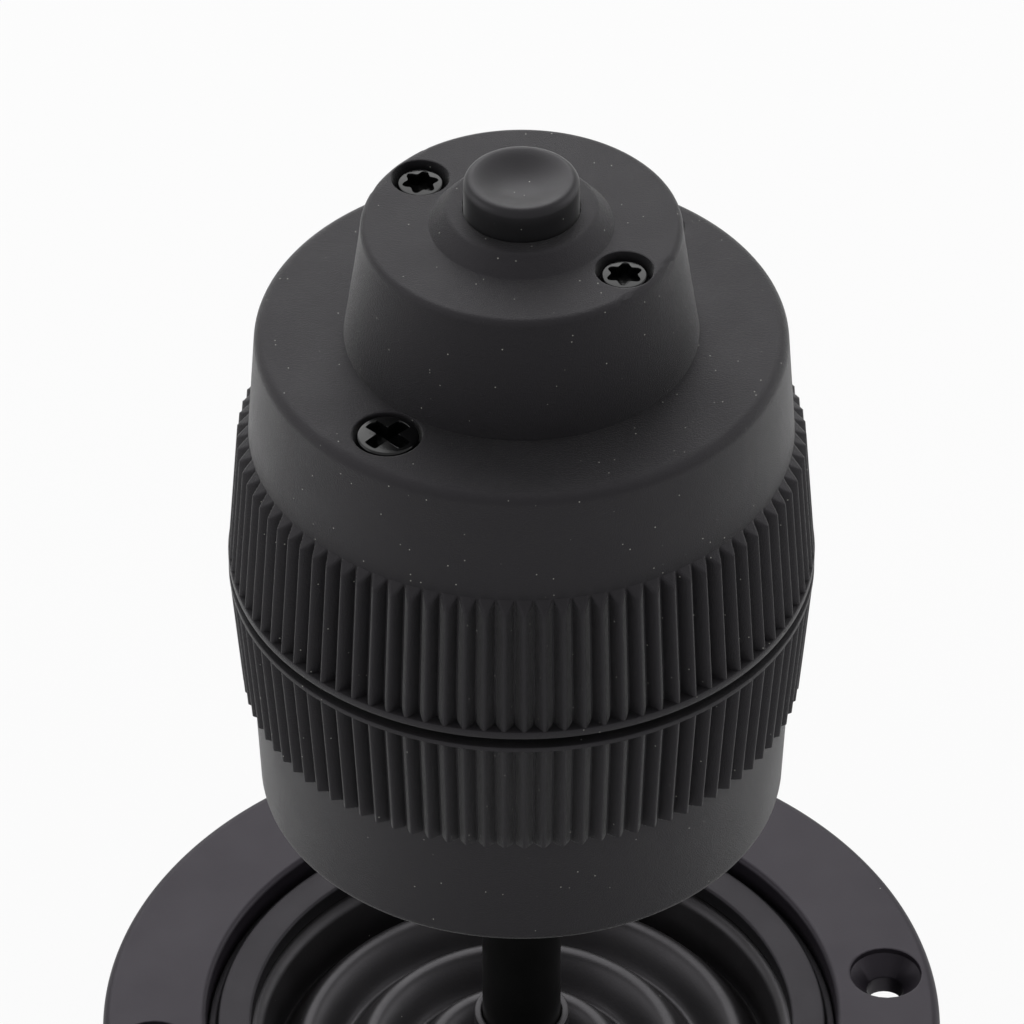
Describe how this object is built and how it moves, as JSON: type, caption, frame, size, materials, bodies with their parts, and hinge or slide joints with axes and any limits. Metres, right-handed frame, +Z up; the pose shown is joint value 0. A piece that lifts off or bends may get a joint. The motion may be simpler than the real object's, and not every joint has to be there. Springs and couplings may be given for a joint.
{
  "type": "panel joystick",
  "caption": "Three-axis panel joystick: sprung gimbal lever under a round flange with a folded boot, ribbed twist knob and a push button on top.",
  "frame": {"origin": "centre of the flange's underside, on the panel's face, on the lever's axis", "axes": "+Z up the lever towards the button; +X and +Y through the four panel screw holes, which lie on the X and Y axes"},
  "size_m": [0.0762, 0.0762, 0.1447],
  "materials": {
    "anodised_aluminium": "satin black anodised aluminium",
    "satin_plastic": "satin black moulded plastic",
    "boot_rubber": "black silicone rubber, satin",
    "housing_plastic": "black glass-filled nylon",
    "bronze": "sintered bronze",
    "black_steel": "black-oxide steel, oiled",
    "steel": "zinc-plated steel",
    "circuit_board": "glass-epoxy circuit board with green solder mask",
    "chip_plastic": "black epoxy or moulded nylon",
    "contact_brass": "gold-flashed brass",
    "spring_steel": "bright spring steel wire",
    "cast_zinc": "die-cast zinc alloy",
    "ground_steel": "ground steel pin",
    "black_shaft": "black-oxide steel, polished",
    "magnet_nickel": "nickel-plated magnet",
    "knob_plastic": "black glass-filled nylon with fine spark-eroded grain",
    "inner_plastic": "dark grey acetal",
    "button_plastic": "black satin moulded plastic",
    "switch_acetal": "natural acetal"
  },
  "bodies": {
    "fixed_base": {"flange": "anodised_aluminium", "boot_clamp_ring": "satin_plastic", "boot": "boot_rubber", "housing": "housing_plastic", "trunnion_bushes": "bronze", "housing_screws": "black_steel", "gate_plate": "steel", "spacers": "steel", "sensor_board": "circuit_board", "tilt_sensor": "chip_plastic", "connector_header": "chip_plastic", "connector_pins": "contact_brass", "base_cover": "housing_plastic", "cover_screws": "black_steel", "tilt_x_spring": "spring_steel"},
    "gimbal": {"gimbal_ring": "cast_zinc", "gimbal_pins": "ground_steel", "gimbal_bushes": "bronze"},
    "lever": {"lever_hub": "cast_zinc", "lever_pins": "ground_steel", "tilt_y_spring": "spring_steel", "lever_shaft": "black_shaft", "sensor_magnet": "magnet_nickel", "lower_shell": "knob_plastic", "shaft_nut": "steel", "twist_deck": "inner_plastic", "deck_screws": "steel", "handle_board": "circuit_board", "twist_sensor": "chip_plastic", "twist_spring": "spring_steel", "retaining_ring": "black_steel"},
    "twist_knob": {"carrier": "inner_plastic", "twist_bush": "bronze", "twist_magnet": "magnet_nickel", "upper_shell": "knob_plastic", "shoulder_screws": "black_steel", "turret": "knob_plastic", "turret_screws": "black_steel", "button_board": "circuit_board", "button_switch": "chip_plastic", "button_spring": "spring_steel"},
    "button": {"button_cap": "button_plastic", "switch_plunger": "switch_acetal"}
  },
  "joints": [
    {"name": "tilt_x", "type": "hinge", "parent": "fixed_base", "child": "gimbal", "pos_m": [0, 0, -0.016], "axis": [1, 0, 0], "range_deg": [-18, 18], "stiffness_Nm_per_rad": 0.6, "deforming": ["boot", "tilt_x_spring"]},
    {"name": "tilt_y", "type": "hinge", "parent": "gimbal", "child": "lever", "pos_m": [0, 0, -0.016], "axis": [0, 1, 0], "range_deg": [-18, 18], "stiffness_Nm_per_rad": 0.6, "deforming": ["tilt_y_spring"]},
    {"name": "twist", "type": "hinge", "parent": "lever", "child": "twist_knob", "pos_m": [0, 0, 0], "axis": [0, 0, 1], "range_deg": [-30, 30], "stiffness_Nm_per_rad": 0.08, "deforming": ["twist_spring"]},
    {"name": "press", "type": "slide", "parent": "twist_knob", "child": "button", "axis": [0, 0, 1], "range_m": [-0.0012, 0], "stiffness_N_per_m": 900, "deforming": ["button_spring"]}
  ]
}
